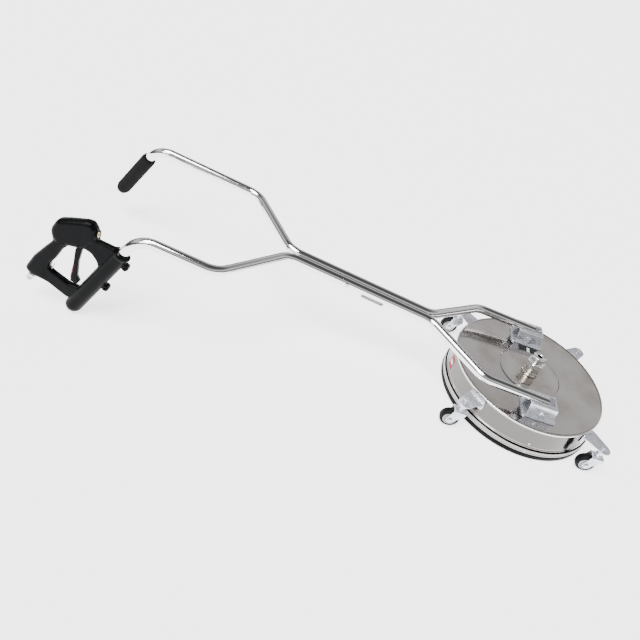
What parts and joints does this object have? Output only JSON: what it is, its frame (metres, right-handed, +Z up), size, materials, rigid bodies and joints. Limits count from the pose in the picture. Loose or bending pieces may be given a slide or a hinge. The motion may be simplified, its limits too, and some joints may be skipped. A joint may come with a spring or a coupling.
{
  "type": "rotary surface cleaner",
  "caption": "Pressure-washer surface cleaner: a round steel deck on swivel casters with a spinning spray bar, a forked chrome handle, a foam grip and a trigger gun.",
  "frame": {"origin": "on the floor under the middle of the whole machine, with the handle down and its gun resting on the floor", "axes": "+Z up, +Y forward from the handlebar to the deck, +X to the right of a user who stands behind the handlebar"},
  "size_m": [0.4782, 1.4932, 0.2621],
  "materials": {
    "brushed_steel": "satin",
    "skirt_rubber": "matte",
    "zinc": "satin",
    "tyre": "matte",
    "hub_plastic": "satin",
    "chrome": "gloss",
    "nickel": "polished",
    "brass": "satin",
    "grip_foam": "matte",
    "gun_plastic": "satin",
    "trigger_red": "satin"
  },
  "bodies": {
    "deck": {"deck_shell": "brushed_steel", "skirt": "skirt_rubber", "skirt_clamp_ring": "brushed_steel", "handle_bracket_right": "zinc", "handle_bracket_left": "zinc", "pivot_bolt_right": "zinc", "pivot_bolt_left": "zinc", "swivel_housing": "nickel", "swivel_inlet": "nickel", "swivel_bearing_lower": "brushed_steel", "swivel_bearing_upper": "brushed_steel", "swivel_seal": "skirt_rubber", "swivel_nut": "brass", "caster_bracket_front_right": "zinc", "caster_stem_front_right": "zinc", "caster_bracket_front_left": "zinc", "caster_stem_front_left": "zinc", "caster_bracket_rear_left": "zinc", "caster_stem_rear_left": "zinc", "caster_bracket_rear_right": "zinc", "caster_stem_rear_right": "zinc"},
    "caster_front_right": {"caster_fork_front_right": "zinc", "caster_axle_front_right": "zinc"},
    "wheel_front_right": {"caster_hub_front_right": "hub_plastic", "caster_tyre_front_right": "tyre"},
    "caster_front_left": {"caster_fork_front_left": "zinc", "caster_axle_front_left": "zinc"},
    "wheel_front_left": {"caster_hub_front_left": "hub_plastic", "caster_tyre_front_left": "tyre"},
    "caster_rear_left": {"caster_fork_rear_left": "zinc", "caster_axle_rear_left": "zinc"},
    "wheel_rear_left": {"caster_hub_rear_left": "hub_plastic", "caster_tyre_rear_left": "tyre"},
    "caster_rear_right": {"caster_fork_rear_right": "zinc", "caster_axle_rear_right": "zinc"},
    "wheel_rear_right": {"caster_hub_rear_right": "hub_plastic", "caster_tyre_rear_right": "tyre"},
    "spray_bar": {"swivel_shaft": "brushed_steel", "spray_hub": "brushed_steel", "spray_arm_one": "brushed_steel", "spray_arm_two": "brushed_steel", "spray_nozzle_one": "brass", "spray_nozzle_two": "brass"},
    "handle": {"pivot_lug_right": "chrome", "pivot_lug_left": "chrome", "lower_tube_right": "chrome", "lower_tube_left": "chrome", "upper_tube_right": "chrome", "upper_tube_left": "chrome", "join_bolt": "zinc", "hose_guide": "brushed_steel", "left_grip": "grip_foam", "gun_shell_right": "gun_plastic", "gun_shell_left": "gun_plastic", "gun_valve_block": "brass", "gun_outlet": "brass", "gun_inlet": "brushed_steel", "trigger_pin": "brushed_steel"},
    "trigger": {"trigger": "trigger_red"},
    "trigger_lock": {"trigger_lock": "brushed_steel"}
  },
  "joints": [
    {"name": "caster_swivel_front_right", "type": "hinge", "parent": "deck", "child": "caster_front_right", "pos_m": [0.18428, 0.71472, 0.06], "axis": [0, 0, 1], "continuous": true},
    {"name": "wheel_spin_front_right", "type": "hinge", "parent": "caster_front_right", "child": "wheel_front_right", "pos_m": [0.18428, 0.69722, 0.0254], "axis": [1, 0, 0], "continuous": true},
    {"name": "caster_swivel_front_left", "type": "hinge", "parent": "deck", "child": "caster_front_left", "pos_m": [-0.19097, 0.71472, 0.06], "axis": [0, 0, 1], "continuous": true},
    {"name": "wheel_spin_front_left", "type": "hinge", "parent": "caster_front_left", "child": "wheel_front_left", "pos_m": [-0.19097, 0.69722, 0.0254], "axis": [1, 0, 0], "continuous": true},
    {"name": "caster_swivel_rear_left", "type": "hinge", "parent": "deck", "child": "caster_rear_left", "pos_m": [-0.19097, 0.33948, 0.06], "axis": [0, 0, 1], "continuous": true},
    {"name": "wheel_spin_rear_left", "type": "hinge", "parent": "caster_rear_left", "child": "wheel_rear_left", "pos_m": [-0.19097, 0.32198, 0.0254], "axis": [1, 0, 0], "continuous": true},
    {"name": "caster_swivel_rear_right", "type": "hinge", "parent": "deck", "child": "caster_rear_right", "pos_m": [0.18428, 0.33948, 0.06], "axis": [0, 0, 1], "continuous": true},
    {"name": "wheel_spin_rear_right", "type": "hinge", "parent": "caster_rear_right", "child": "wheel_rear_right", "pos_m": [0.18428, 0.32198, 0.0254], "axis": [1, 0, 0], "continuous": true},
    {"name": "spray_bar_spin", "type": "hinge", "parent": "deck", "child": "spray_bar", "pos_m": [-0.00335, 0.5271, 0.054], "axis": [0, 0, 1], "continuous": true},
    {"name": "handle_pivot", "type": "hinge", "parent": "deck", "child": "handle", "pos_m": [-0.00335, 0.5321, 0.114], "axis": [-1, 0, 0], "range_deg": [0, 60]},
    {"name": "trigger_pull", "type": "hinge", "parent": "handle", "child": "trigger", "pos_m": [0.19955, -0.63158, 0.18354], "axis": [-0.9923, -0.0136, -0.1228], "range_deg": [0, 16], "stiffness_Nm_per_rad": 0.6},
    {"name": "lock_swing", "type": "hinge", "parent": "handle", "child": "trigger_lock", "pos_m": [0.21302, -0.68923, 0.08111], "axis": [-0.9923, -0.0136, -0.1228], "range_deg": [0, 20]}
  ]
}
